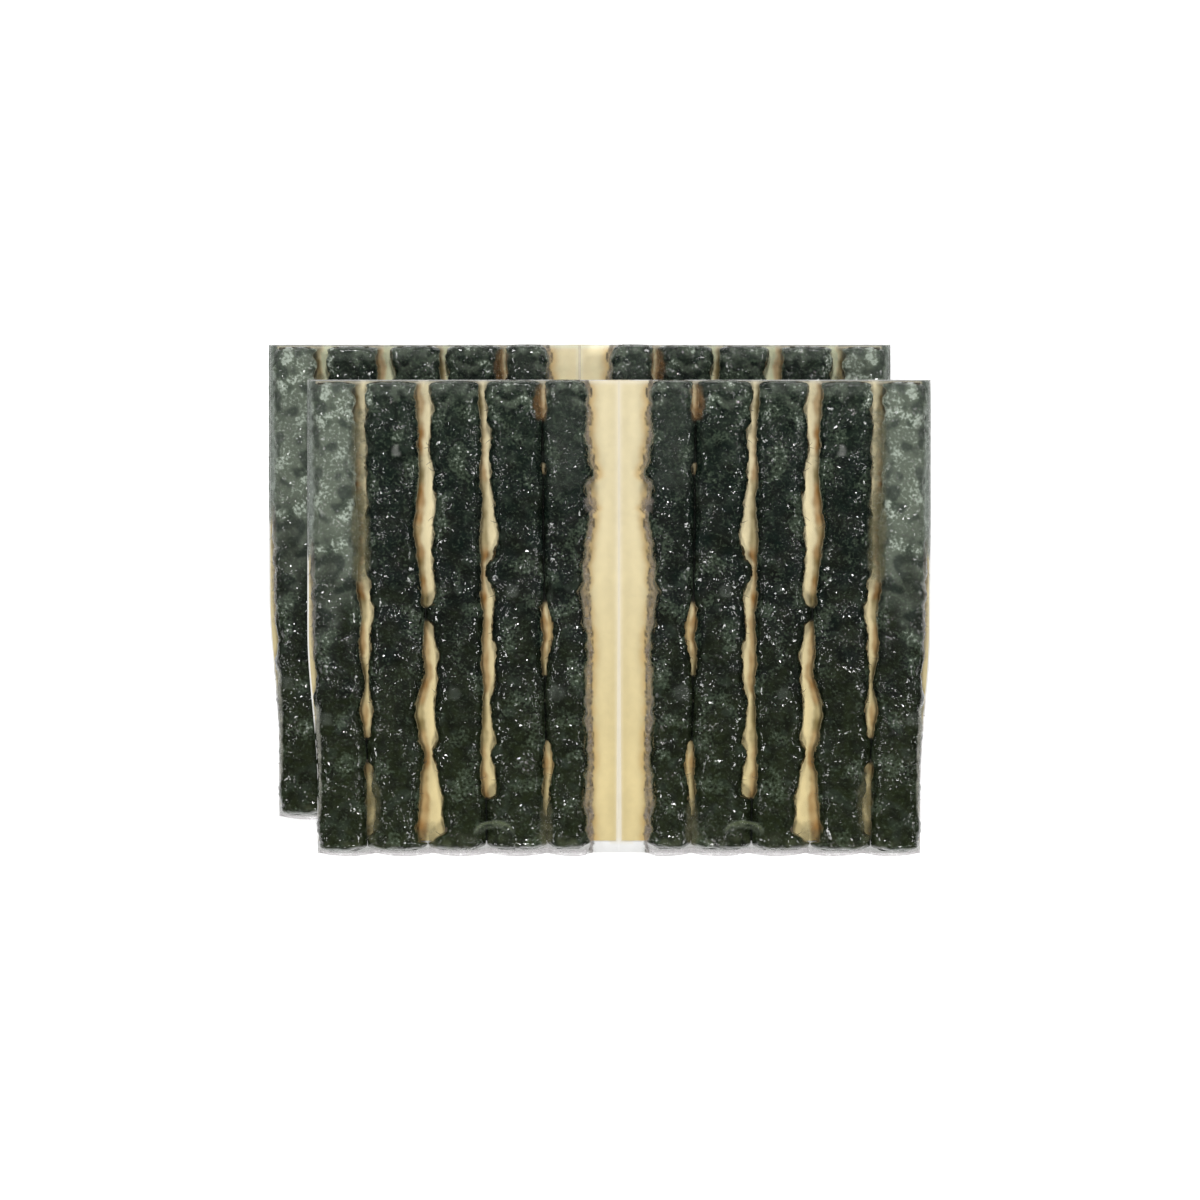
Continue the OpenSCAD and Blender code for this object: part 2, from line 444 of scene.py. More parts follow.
def paper_colours(u, t):
    """The release paper's colour at places on the card, its stains mixed with painted shade and painted
    light.
    """
    x, s = to_lane(u, t)
    colour = mixed(np.broadcast_to(cream_top, (*u.shape, 3)), cream_bottom, ramp(s, 4, 58))
    colour = colour * (1 + 0.035 * cloud(u, t, 5, 1) + 0.02 * cloud(u, t, 1.1, 2))[..., None]
    for gap in GAPS:
        outer, inner = gap_edges(gap, s.ravel())
        outer, inner = outer.reshape(s.shape), inner.reshape(s.shape)
        width = np.maximum(outer - inner, 0.01)
        band = 0.38 * width + 0.16 + 0.22 * cloud(s, 0 * s, 2.3, gap) + 0.1 * cloud(x, s, 0.8, gap + 15)
        # The brown band along the outer side of each gap is oil stain from the rubber and painted shadow
        # from the outer strip.
        stain_and_shadow = (1 - ramp(outer - x, band - 0.3, band + 0.28)) * (0.8 + 0.35 * cloud(x, s, 1.9, gap + 25))
        between = (x > inner - gap_reach) * (x < outer + gap_reach)
        # Painted light: the paper in and beside each gap is brightened to make up for the strips' shade.
        colour = colour * (1 + gap_painted_light * between)[..., None]
        stain_and_shadow = stain_and_shadow * between
        olive = ramp(cloud(s, 0 * s, 4.5, gap + 5), -0.1, 0.5)
        oil_and_shadow = mixed(np.broadcast_to(oil_and_shadow_brown, colour.shape), oil_and_shade_olive, olive)
        colour = mixed(colour, oil_and_shadow, np.clip(0.92 * stain_and_shadow, 0, 1))
        # Painted shadow: a dark olive line in the gap along the outer strip's edge.
        shadow_line = 1 - ramp(outer - x, -0.05, 0.45)
        colour = mixed(colour, oil_and_shade_olive * 0.4, 0.85 * shadow_line * (x > inner) * (x < outer + 0.6))
        joined = 1 - ramp(width, 0.22, 0.5)
        colour = mixed(colour, rubber_smear_and_shade, joined * (np.abs(x - parting(gap)) < 1))
    beyond = strip_edges(strip_count, s.ravel())[0].reshape(s.shape) - x
    # Ochre on the paper beside the innermost strip: oil stain and painted shade.
    oil_and_shade_beside = (1 - ramp(beyond, 0.45, 1.6)) * (x < lane_edges[strip_count][1])
    colour = mixed(colour, rim_oil_and_shade_ochre, 0.6 * oil_and_shade_beside)
    beaded = (1 - ramp(np.abs(beyond - 0.5), 0.02, 0.18)) * ramp(cloud(s, 0 * s, 0.9, 61), -0.3, 0.2)
    colour = mixed(colour, oil_and_shade_olive * 0.4, 0.8 * beaded)
    colour = mixed(colour, top_pale, 0.8 * (1 - ramp(t, 0.15, 0.8)))
    colour = mixed(colour, top_pale, 0.4 * (1 - ramp(u, 0.05, 0.6)))
    hidden = ramp(x, lane_edges[1][1] - 0.8, lane_edges[1][1] - 0.5) * (1 - ramp(s, 19, 23))
    colour = mixed(colour, under_haze, hidden)
    for i in sizes:
        # Painted contact shade and oil on the paper under the strips' upper ends.
        contact_shade_and_oil = (x > lane_edges[i][0]) * (x < lane_edges[i][1]) * (t < 0.3)
        colour = mixed(colour, rubber_smear_and_shade, 0.8 * contact_shade_and_oil)
    return np.clip(colour, 0, 1)


waxed_paper, paper_shader, node, link = finish_of("waxed_cream_paper", cream_top, 0.5)
paper_shader.inputs["Specular IOR Level"].default_value = 0.3
# The paper's colour attribute: its stains together with its painted shade and painted light
stain = node("ShaderNodeAttribute")
stain.attribute_name = "stain"
mottle = node("ShaderNodeTexNoise")
mottle.inputs["Scale"].default_value = 1400
mottle.inputs["Detail"].default_value = 4
fade = node("ShaderNodeMapRange")
fade.inputs["To Min"].default_value = 0.93
fade.inputs["To Max"].default_value = 1.05
tone = node("ShaderNodeVectorMath")
tone.operation = "SCALE"
relief = node("ShaderNodeBump")
relief.inputs["Strength"].default_value = 0.12
relief.inputs["Distance"].default_value = 0.00004
place_on = node("ShaderNodeTexCoord")
link(place_on.outputs["Object"], mottle.inputs["Vector"])
link(mottle.outputs["Fac"], fade.inputs["Value"])
link(stain.outputs["Color"], tone.inputs[0])
link(fade.outputs["Result"], tone.inputs["Scale"])
link(tone.outputs["Vector"], paper_shader.inputs["Base Color"])
link(mottle.outputs["Fac"], relief.inputs["Height"])
link(relief.outputs["Normal"], paper_shader.inputs["Normal"])

(u0, u1), (t0, t1), (low_z, high_z) = first.span("paper")
across = np.linspace(u0, u1, round((u1 - u0) / paper_step))
down = np.linspace(t0, t1, round((t1 - t0) / paper_step))
u, t = np.meshgrid(across, down)
u = u * (1 - trimmed(t) / first.width)
u = u - inner_reach * (1 - ramp(u, u0, u0 + inner_stretch)) * (1 - ramp(t, 25, 60))
plain = paper_colours(u, t)
# Painted light: the lower cards' paper is brightened near its top, where the upper cards shade it.
painted_light_colours = np.clip(plain * (1 + painted_light_gain * (1 - ramp(t, painted_light_length, painted_light_length + 2)))[..., None], 0, 1)
for card in cards:
    stains_shade_and_light = (painted_light_colours if card.name.startswith("lower") else plain).reshape(-1, 3)
    points = np.r_[card.place(u, t, np.full(u.shape, high_z)), card.place(u, t, np.full(u.shape, low_z))]
    paper = piece(f"{card.name}_release_paper", card, points, sheet_faces(*u.shape), waxed_paper,
                  smooth=False, stain=np.r_[stains_shade_and_light, stains_shade_and_light])
    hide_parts(f"{card.name}_paper")
    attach(paper, card.name)

# ---- Cords ----
# Three soft yarns run the length of every strip and give it its strength. Each is twisted from
# three plies, soaked in the rubber, and cut off with it, so its ends show at the strip's ends.
# Loose fibres of the yarn stick out here and there along the strips' edges.
cord_radius, cord_sides, cord_step, cord_twist = 0.5, 14, 0.4, 3.8
cords_in_strip = 3
first_cord, cord_spacing = 0.22, 0.28
fibre_sides, fibre_radius, fibre_points = 5, 0.045, 6
fibre_root, fibre_clearance, fibre_creep = 0.4, 0.06, 0.001
fibres_along_edge = 9
edge_smoothing = 13


def tube(route, radii, sides, lobes=0, twist=0.0):
    """Points and faces of a closed tube along a route, its outline lobed and twisted like yarn."""
    route, radii = np.asarray(route, float), np.asarray(radii, float)
    ahead = np.gradient(route, axis=0)
    ahead /= np.linalg.norm(ahead, axis=1)[:, None]
    level = np.cross(ahead, (0.05, 0.1, 1))
    level /= np.linalg.norm(level, axis=1)[:, None]
    raised = np.cross(level, ahead)
    run = np.r_[0, np.cumsum(np.linalg.norm(np.diff(route, axis=0), axis=1))]
    turn = np.arange(sides) * 2 * math.pi / sides
    lobed = np.ones((len(route), sides))
    if lobes:
        lobed = 0.8 + 0.2 * np.abs(np.cos(lobes / 2 * (turn[None] - 2 * math.pi * run[:, None] / twist)))
    reach = radii[:, None] * lobed
    points = (route[:, None] + reach[..., None] * (np.cos(turn)[None, :, None] * level[:, None]
                                                   + np.sin(turn)[None, :, None] * raised[:, None]))
    ring = np.arange(len(route) * sides).reshape(len(route), sides)
    on = np.roll(ring, -1, axis=1)
    faces = np.stack([ring[:-1], on[:-1], on[1:], ring[1:]], -1).reshape(-1, 4).tolist()
    faces += [ring[0][::-1].tolist(), ring[-1].tolist()]
    return points.reshape(-1, 3), faces


def gathered(parts):
    """Several sets of points and faces as one."""
    points, faces, count = [], [], 0
    for some_points, some_faces in parts:
        points.append(some_points)
        faces += [[count + k for k in face] for face in some_faces]
        count += len(some_points)
    return np.concatenate(points), faces


def strip_cords(i):
    """The yarns of one strip and its loose fibres, in lane x, s and height."""
    rest_z = sum(first.span(f"cords_{i}")[2]) / 2
    s = np.arange(0.02, strip_length, cord_step)
    even = np.ones(edge_smoothing) / edge_smoothing
    padded = (np.pad(edge, edge_smoothing // 2, "edge") for edge in strip_edges(i, s))
    inner, outer = (np.convolve(edge, even, "valid") for edge in padded)
    parts = []
    for k in range(cords_in_strip):
        x = inner + (outer - inner) * (first_cord + cord_spacing * k)
        x = x + 0.06 * wander(s, 6, 10 * i + k)
        route = np.stack([x, s, rest_z + 0.1 * wander(s, 5, 10 * i + k + 5)], -1)
        parts.append(tube(route, np.full(len(s), cord_radius), cord_sides, 3, cord_twist))
    picks = np.random.default_rng(100 + i)
    for side in (0, 1):
        for start in picks.uniform(1, strip_length - 1, fibres_along_edge):
            edge = strip_edges(i, np.array([start]))[side][0]
            out = 1 if side else -1
            reach = picks.uniform(0.25, 0.75)
            climb, drift = picks.uniform(-0.3, 0.9), picks.uniform(-0.6, 0.6)
            share = np.linspace(0, 1, fibre_points)
            x = edge - out * fibre_root + out * (fibre_root + reach) * share
            if (i, side) not in ((1, 1), (strip_count, 0)):
                wall = parting(i - 1 if side else i) - out * fibre_clearance
                x = np.minimum(x, wall) if side else np.maximum(x, wall)
            height = rest_z * 0.6 + climb * share + 0.15 * np.sin(5 * share)
            route = np.stack([x, start + drift * share**2, height], -1)
            route[:, 0] += out * fibre_creep * np.arange(fibre_points)
            parts.append(tube(route, fibre_radius * (1.1 - 0.7 * share), fibre_sides))
    return gathered(parts)


soaked_yarn, yarn_shader, node, link = finish_of("soaked_yarn", lit(58, 50, 36), 0.7)
yarn_shader.inputs["Sheen Weight"].default_value = 0.2
plies = node("ShaderNodeTexNoise")
plies.inputs["Scale"].default_value = 5000
plies.inputs["Detail"].default_value = 6
tint = node("ShaderNodeValToRGB")
tint.color_ramp.elements[0].color = (*lit(30, 27, 20), 1)
tint.color_ramp.elements[1].color = (*lit(92, 78, 54), 1)
relief = node("ShaderNodeBump")
relief.inputs["Strength"].default_value = 0.5
relief.inputs["Distance"].default_value = 0.00006
place_on = node("ShaderNodeTexCoord")
link(place_on.outputs["Object"], plies.inputs["Vector"])
link(plies.outputs["Fac"], tint.inputs["Fac"])
link(tint.outputs["Color"], yarn_shader.inputs["Base Color"])
link(plies.outputs["Fac"], relief.inputs["Height"])
link(relief.outputs["Normal"], yarn_shader.inputs["Normal"])

for i in sizes:
    drawn, faces = strip_cords(i)
    u, t = from_lane(drawn[:, 0], drawn[:, 1])
    for card in cards:
        cords = piece(f"{card.name}_yarns_{i}", card, card.place(u, t, drawn[:, 2]), faces, soaked_yarn)
        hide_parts(f"{card.name}_cords_{i}")
        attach(cords, f"{card.name}_strip_{i}")

# ---- Rubber strips ----
# Unvulcanised, near-black green rubber, pressed flat around the cords and sticky all over. Its skin
# is a mass of small wet bubbles and pimples, smoother in some zones, and its edges are squeezed
# out in scallops. Where neighbours touch they look like one piece, but each peels off by itself.
row_step = 0.2
top_points, under_points = 41, 5
crown_fullness = 3.6
crown_height = 2.5
end_round = 0.7
undercut = 0.3
outermost_reach = 0.42
top_reach, end_taper = 0.1, 0.35
torn_top, torn_bottom = 0.24, 0.38
coarse_bubble, fine_bubble = 0.95, 0.48
coarse_rise, fine_rise, lump_rise, skin_sink = 0.19, 0.13, 0.13, 0.1
wall_share, wall_sink = 0.9, 0.02
rubber_dark, rubber_mid = lit(3, 7, 4), lit(20, 27, 17)
rubber_olive, rubber_grey, rubber_blue = lit(36, 44, 18), lit(60, 72, 60), lit(12, 34, 27)
hazed_light, hazed_dark, muddy = lit(108, 115, 102), lit(60, 68, 60), lit(80, 86, 62)


def bubbles(spots, size, seed):
    """Height, 0 to 1, of round bubbles packed side by side, each about as wide as size."""
    shift = Vector((seed * 5.1, seed * 2.3, seed * 9.7))
    nearest = np.array([noise.voronoi(Vector(spot) / size + shift)[0][0] for spot in spots])
    return 1 - np.clip(nearest / 0.8, 0, 1) ** 2


def lumps(spots, size, seed):
    """Smooth random swellings between about -1 and 1 in space."""
    shift = Vector((seed * 4.1, 0, seed))
    return np.array([noise.noise(Vector(spot) / size + shift) for spot in spots]) * 1.6


def skin_colours(i, spots, coarse_dome, fine_dome, fine):
    """Colour and painted glint specks of one strip's skin at its upper points, bubbles darker at their rims
    with painted shade.
    """
    hue = lumps(spots, 2.4, i + 70)
    colour = mixed(np.broadcast_to(rubber_dark, spots.shape), rubber_mid,
                   np.clip(0.4 + 0.6 * hue + 0.25 * (fine_dome - 0.5), 0, 1))
    down = spots[:, 1] / strip_length
    colour = mixed(colour, rubber_olive, 0.75 * ramp(down + 0.15 * hue, 0.4, 0.9))
    colour = mixed(colour, rubber_blue, 0.45 * (1 - ramp(down + 0.3 * hue, 0.1, 0.6)))
    misty = ramp(lumps(spots, 1.6, i + 80), 0.45, 0.9)
    misty = np.maximum(misty, 0.75 * (1 - ramp(spots[:, 1] + 4 * hue, 4, 13)) * ramp(hue, -0.6, 0.5))
    colour = mixed(colour, rubber_grey, 0.4 * misty)
    # Painted shade: the large bubbles darker towards their rims, in the hollows between them, and lighter
    # on top.
    colour = colour * (0.32 + 0.5 * coarse_dome)[:, None]
    # Painted highlight: a pale grey on the tops of the small bubbles.
    colour = mixed(colour, rubber_grey, 0.3 * ramp(fine_dome, 0.75, 1) * (0.4 + 0.6 * fine))
    # Painted glints: the share of pale specks standing in for small glints, more near the upper end, in
    # patches, at the pale ends and in strip 1's haze.
    painted_glints = np.full(len(spots), 0.04) + 0.04 * (1 - ramp(down, 0.1, 0.4))
    painted_glints = painted_glints + 0.2 * ramp(lumps(spots, 2.8, i + 90), 0.1, 0.8)
    mottled = ramp(lumps(spots, 1.2, i + 97), -0.35, 0.45)
    pale_end = (1 - ramp(spots[:, 1] + 1.6 * hue, 0.6, 3.8)) * mottled
    muddy_end = ramp(spots[:, 1] + 1.3 * hue, 57.2, 60.4) * mottled
    colour = mixed(colour, muddy, 0.55 * muddy_end)
    painted_glints += 0.22 * pale_end
    colour = mixed(colour, hazed_light, 0.42 * pale_end)
    if i == 1:
        hazy = 1 - ramp(spots[:, 1] + 4 * hue, 13, 36)
        patchy = ramp(lumps(spots, 1.5, i + 95), -0.05, 0.55)
        painted_glints += 0.25 * hazy * (1 - patchy)
        hazed = mixed(np.broadcast_to(hazed_light, colour.shape), hazed_dark, patchy)
        colour = mixed(colour, hazed, 0.85 * hazy)
    return colour, painted_glints


def rubber_strip(i):
    """One strip: its points in lane x, s and height, its faces, and its skin's colour at each point."""
    base_z, top_z = first.span(f"strip_{i}")[2]
    s = np.arange(0, strip_length + row_step / 2, row_step)
    inner, outer = strip_edges(i, s)
    from_end = np.minimum(s, strip_length - s)
    rounding = np.sqrt(1 - (1 - np.clip(from_end / end_round, 0, 1)) ** 2)
    shrink = end_taper * (1 - rounding)
    inner, outer = inner + shrink, outer - shrink
    share = np.sin(np.linspace(-1, 1, top_points) * math.pi / 2)
    profile = (1 - np.abs(share) ** crown_fullness) ** (1 / crown_fullness)
    height = crown_height * (0.5 + 0.5 * rounding) + 0.12 * wander(s, 7, i + 50)
    x = (inner + outer)[:, None] / 2 + (outer - inner)[:, None] / 2 * share[None]
    z = height[:, None] * profile[None]
    lower = s > strip_length / 2
    torn = np.where(lower, 0.08, 0.03)[:, None] * (1 + cloud(x, 0 * x, 0.9, i))
    torn = torn + np.where(lower, torn_bottom, torn_top)[:, None] * np.abs(share)[None] ** 3
    ragged = (1 - ramp(from_end, 0, 1.6))[:, None] * np.maximum(torn, 0)
    along = s[:, None] + np.where(lower, -1, 1)[:, None] * ragged
    along = along - top_reach * (1 - ramp(s, 0, 1.5))[:, None]
    lean_out = np.sign(share) * np.abs(share) ** (crown_fullness - 1) / ((outer - inner)[:, None] / 2)
    lift = profile ** (crown_fullness - 1) / height[:, None]
    size = np.hypot(lean_out, lift)
    lean_out, lift = lean_out / size, lift / size
    spots = np.stack([x, along, z], -1).reshape(-1, 3)
    busy = ramp(lumps(spots, 3.2, i), -0.45, 0.35)
    fine = ramp(lumps(spots, 2.1, i + 30), -0.3, 0.5)
    coarse_dome, fine_dome = bubbles(spots, coarse_bubble, i), bubbles(spots, fine_bubble, i + 11)
    swell = (coarse_rise * coarse_dome * (0.2 + 0.8 * busy)
             + fine_rise * fine_dome * (0.15 + 0.85 * fine) * (0.4 + 0.6 * busy)
             + lump_rise * lumps(spots, 1.9, i + 60))
    swell = swell.reshape(x.shape) - skin_sink
    walls = np.abs(share) > wall_share
    swell[:, walls] = np.maximum(swell[:, walls], -wall_sink)
    x, z = x + swell * lean_out, np.clip(z + swell * lift, 0, top_z - base_z)
    x[:, 0] = inner + undercut
    x[:, -1] = outer - undercut
    z[:, [0, -1]] = 0
    low_wall = parting(i) + parting_clearance if i < strip_count else -math.inf
    high_wall = parting(i - 1) - parting_clearance if i > 1 else lane_edges[1][1] + outermost_reach
    x = np.clip(x, low_wall, high_wall)
    under_x = np.linspace(x[:, -1], x[:, 0], under_points + 2)[1:-1].T
    ring_x, ring_z = np.c_[x, under_x], np.c_[z, np.zeros_like(under_x)]
    ring_s = np.c_[along, np.broadcast_to(s[:, None], under_x.shape)]
    points = np.stack([ring_x, ring_s, ring_z + base_z], -1).reshape(-1, 3)
    ring = np.arange(ring_x.size).reshape(ring_x.shape)
    on = np.roll(ring, -1, axis=1)
    faces = np.stack([ring[:-1], ring[1:], on[1:], on[:-1]], -1).reshape(-1, 4).tolist()
    faces += [ring[0].tolist(), ring[-1][::-1].tolist()]
    colour, painted_glints = skin_colours(i, spots, coarse_dome, fine_dome, fine)
    skin = np.full((*ring_x.shape, 3), rubber_dark)
    skin[:, :top_points] = colour.reshape(*x.shape, 3)
    bloom = np.zeros(ring_x.shape)
    bloom[:, :top_points] = painted_glints.reshape(x.shape)
    return points, faces, np.clip(skin.reshape(-1, 3), 0, 1), np.clip(bloom.ravel(), 0, 1)


wet_rubber, rubber_shader, node, link = finish_of("sticky_rubber", rubber_mid, 0.42)
rubber_shader.inputs["Specular IOR Level"].default_value = 0.08
rubber_shader.inputs["Coat Weight"].default_value = 1.0
rubber_shader.inputs["Coat Roughness"].default_value = 0.06
skin = node("ShaderNodeAttribute")
skin.attribute_name = "skin"
pimples = node("ShaderNodeTexVoronoi")
pimples.inputs["Scale"].default_value = 2500
pimples.feature = "SMOOTH_F1"
grain = node("ShaderNodeTexNoise")
grain.inputs["Scale"].default_value = 3000
grain.inputs["Detail"].default_value = 3
patches = node("ShaderNodeTexNoise")
patches.inputs["Scale"].default_value = 420
patches.inputs["Detail"].default_value = 2
roughen = node("ShaderNodeMapRange")
roughen.inputs["From Min"].default_value = 0.35
roughen.inputs["From Max"].default_value = 0.65
roughen.inputs["To Min"].default_value = 0.3
roughen.inputs["To Max"].default_value = 0.55
lively = node("ShaderNodeMapRange")
lively.inputs["From Min"].default_value = 0.42
lively.inputs["From Max"].default_value = 0.55
lively.inputs["To Min"].default_value = 0.15
lively.inputs["To Max"].default_value = 1.0
first_relief = node("ShaderNodeBump")
first_relief.invert = True
first_relief.inputs["Distance"].default_value = 0.00014
second_relief = node("ShaderNodeBump")
second_relief.inputs["Strength"].default_value = 0.12
second_relief.inputs["Distance"].default_value = 0.00005
# Painted glints: where speck noise plus the painted-glint share passes a threshold, the base colour turns
# pale grey-green in small specks.
bloom = node("ShaderNodeAttribute")
bloom.attribute_name = "bloom"
specks = node("ShaderNodeTexNoise")
specks.inputs["Scale"].default_value = 2600
specks.inputs["Detail"].default_value = 3
threshold = node("ShaderNodeMath")
threshold.operation = "ADD"
spread = node("ShaderNodeMapRange")
spread.interpolation_type = "SMOOTHSTEP"
spread.inputs["From Min"].default_value = 0.82
spread.inputs["From Max"].default_value = 1.12
# Painted light: fainter pale specks all over the skin stand in for the fine glints on the small bubbles.
painted_speck_mix = node("ShaderNodeMix")
painted_speck_mix.data_type = "RGBA"
painted_speck_mix.inputs["B"].default_value = (*lit(110, 127, 104), 1)
painted_speck_share = node("ShaderNodeMapRange")
painted_speck_share.inputs["From Min"].default_value = 0.6
painted_speck_share.inputs["From Max"].default_value = 0.8
painted_speck_share.inputs["To Max"].default_value = 0.23
painted_glint_mix = node("ShaderNodeMix")
painted_glint_mix.data_type = "RGBA"
painted_glint_mix.inputs["B"].default_value = (*lit(187, 198, 184), 1)
place_on = node("ShaderNodeTexCoord")
for texture in (pimples, grain, patches, specks):
    link(place_on.outputs["Object"], texture.inputs["Vector"])
link(threshold.outputs["Value"], painted_speck_share.inputs["Value"])
link(painted_speck_share.outputs["Result"], painted_speck_mix.inputs["Factor"])
link(skin.outputs["Color"], painted_speck_mix.inputs["A"])
link(painted_speck_mix.outputs["Result"], painted_glint_mix.inputs["A"])
link(specks.outputs["Fac"], threshold.inputs[0])
link(bloom.outputs["Fac"], threshold.inputs[1])
link(threshold.outputs["Value"], spread.inputs["Value"])
link(spread.outputs["Result"], painted_glint_mix.inputs["Factor"])
link(painted_glint_mix.outputs["Result"], rubber_shader.inputs["Base Color"])
link(patches.outputs["Fac"], roughen.inputs["Value"])
link(roughen.outputs["Result"], rubber_shader.inputs["Roughness"])
link(patches.outputs["Fac"], lively.inputs["Value"])
link(lively.outputs["Result"], first_relief.inputs["Strength"])
link(pimples.outputs["Distance"], first_relief.inputs["Height"])
link(grain.outputs["Fac"], second_relief.inputs["Height"])
link(first_relief.outputs["Normal"], second_relief.inputs["Normal"])
link(second_relief.outputs["Normal"], rubber_shader.inputs["Normal"])
link(second_relief.outputs["Normal"], rubber_shader.inputs["Coat Normal"])

for i in sizes:
    drawn, faces, colours, painted_glints = rubber_strip(i)
    u, t = from_lane(drawn[:, 0], drawn[:, 1])
    for card in cards:
        strip = piece(f"{card.name}_rubber_strip_{i}", card, card.place(u, t, drawn[:, 2]), faces,
                      wet_rubber, skin=colours, bloom=painted_glints)
        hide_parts(f"{card.name}_strip_{i}")
        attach(strip, f"{card.name}_strip_{i}")

# ---- Cover film ----
# Clear film laid over the strips keeps dust off them. It sticks to the paper along both long edges
# and across the top, hangs a little past the bottom edge in scallops, and peels off from there.
# Trapped air and smears of rubber make it hazy grey or olive in patches.
film_step, fine_step = 0.3, 0.14
fine_inside, fine_outside = (2.4, 5.4), 38.2
fold_steps = np.array((0.2, 0.13, 0.07, 0))
solid_film, film_thickness = 0.12, 0.1
film_dip, dip_width, film_lift = 0.45, 0.55, 0.02
rim_reach = 0.12
hem_drop, hem_wave = 0.55, 0.45
haze_grey, haze_light, haze_olive = lit(120, 128, 118), lit(178, 180, 174), lit(98, 96, 70)
haze_lilac, haze_white = lit(132, 123, 115), lit(198, 194, 195)
haze_rim, haze_brown, top_line = lit(150, 158, 150), lit(152, 112, 68), lit(222, 223, 216)
haze_fold, haze_edge = lit(112, 122, 90), lit(158, 158, 146)
rim_dark = lit(58, 50, 46)

# Patches of haze: middle in lane x and s, half width, half length, share of light stopped, colour
HAZE = [
    (36.2, 4, 4.2, 10, 0.12, haze_grey),
    (36.5, 15, 3.6, 11, 0.12, haze_grey),
    (39.45, 9, 0.75, 14, 0.85, haze_rim),
    (39.0, 28, 0.35, 8, 0.4, haze_lilac),
    (38.6, 48.5, 0.45, 7, 0.75, haze_edge),
    (32.9, 8.5, 0.9, 4.5, 0.62, haze_olive),
    (32.8, 19.5, 1.2, 6.5, 0.8, haze_olive),
    (31.6, 54, 0.9, 4.5, 0.45, haze_olive),
    (24.3, 58, 1.1, 1.8, 0.35, haze_olive),
    (9.5, 56.5, 0.8, 3, 0.5, haze_olive),
    (9.6, 2.6, 0.8, 2.6, 0.4, haze_brown),
    (6.3, 7, 2.6, 8, 0.1, haze_grey),
    (28, 0.9, 12, 0.9, 0.16, haze_grey),
    (12, 0.7, 10, 0.6, 0.1, haze_grey),
    (3.4, 16, 0.8, 1.1, 0.6, haze_lilac),
    (28.2, 8.8, 0.6, 0.8, 0.4, haze_light),
    (13.5, 27, 0.8, 1, 0.25, haze_grey),
    (8, 40, 1.1, 1.1, 0.22, haze_grey),
    (21, 40, 0.8, 0.9, 0.2, haze_grey),
    (37.5, 43, 0.9, 0.9, 0.22, haze_grey),
]

film_span = first.span("film")
film_under = film_span[2][1] - solid_film
paper_top = first.span("paper")[2][1]


def film_height(x, s, u, t):
    """Height of the film's under side: over the strips, lower between them, and down at its sides."""
    height = np.full(x.shape, film_under)
    for gap in GAPS:
        height = height - film_dip * np.exp(-(((x - parting(gap)) / dip_width) ** 2))
    high, low = film_under, paper_top + film_lift
    outside = ramp(u + trimmed(t), film_span[0][1] - 0.22, film_span[0][1] - 0.04)
    inside = 1 - ramp(u, lane_edges[strip_count][0] - 2.2, lane_edges[strip_count][0] - 0.9)
    height = height + (low - high) * np.maximum(outside, inside)
    height = low + (height - low) * ramp(t, 0.02, 0.16)
    ripple = 0.05 * cloud(u, t, 1.7, 41) + 0.03 * cloud(u, t, 0.7, 42)
    return height - np.abs(ripple) * ramp(height, low + 0.3, low + 2)


(u0, u1), (t0, t1), _ = film_span
across = np.r_[np.arange(u0, fine_inside[0], film_step), np.arange(*fine_inside, fine_step),
               np.arange(fine_inside[1], fine_outside, film_step),
               np.arange(fine_outside, u1 - 0.28, fine_step), u1 - fold_steps]
down = np.r_[0, 0.08, 0.16, np.linspace(0.4, t1, round((t1 - t0) / film_step))] / t1
u, share = np.meshgrid(across, down)
bottom_gap = lane_edges[strip_count][1] + 0.45
pitch = lane_middle[1] - lane_middle[2]
scalloped = np.abs(np.sin(math.pi * (u - bottom_gap) / pitch)) ** 0.7 * ramp(u, 3, 5)
bottom = t1 - hem_drop + hem_wave * scalloped
t = share * bottom
u = u * (1 - trimmed(t) / first.width)
u = u + rim_reach * ramp(u, u1 - 0.25, u1) * (1 - ramp(t, 20, 24))
x, s = to_lane(u, t)
under = film_height(x, s, u, t)

veil = np.full(u.shape, 0.008)
haze_tint = np.broadcast_to(haze_grey, (*u.shape, 3))
ragged = cloud(u, t, 1.4, 51) * 0.28 + cloud(u, t, 0.6, 52) * 0.16
for mid_x, mid_s, half_x, half_s, strength, colour in HAZE:
    far = np.sqrt(((x - mid_x) / half_x) ** 2 + ((s - mid_s) / half_s) ** 4)
    here = strength * (1 - ramp(far + ragged, 0.65, 1.15))
    haze_tint = mixed(haze_tint, colour, np.clip(here / (here + veil), 0, 1))
    veil = 1 - (1 - veil) * (1 - here)
veil = veil * (0.85 + 0.3 * cloud(u, t, 0.9, 53))
fold = np.hypot((x - 16.1) / 2.5, (s - 58.3) / 1.9) + 0.12 * ragged
folded = 1 - ramp(np.abs(fold - 1), 0.04, 0.16)
folded = np.maximum(folded, 0.6 * (1 - ramp(np.abs(fold - 0.72), 0.03, 0.13)))
folded = folded * (1 - ramp(s, 57, 58.2))
haze_tint, veil = mixed(haze_tint, haze_fold, folded), np.maximum(veil, 0.62 * folded)
hem = strip_length - hem_wave * (1 - scalloped)
hanging = ramp(s, hem - 0.15, hem + 0.1) * ramp(u, 2.5, 4.5)
haze_tint, veil = mixed(haze_tint, haze_white, hanging), np.maximum(veil, 0.75 * hanging)
top_rim = (1 - ramp(t, 0.05, 0.3)) * ramp(u, 3.6, 4.2)
top_rim = top_rim * (0.25 + 0.75 * ramp(under, film_under - 1.6, film_under - 0.3))
haze_tint, veil = mixed(haze_tint, top_line, top_rim), np.maximum(veil, 0.8 * top_rim)
beyond = strip_edges(strip_count, s.ravel())[0].reshape(s.shape) - x
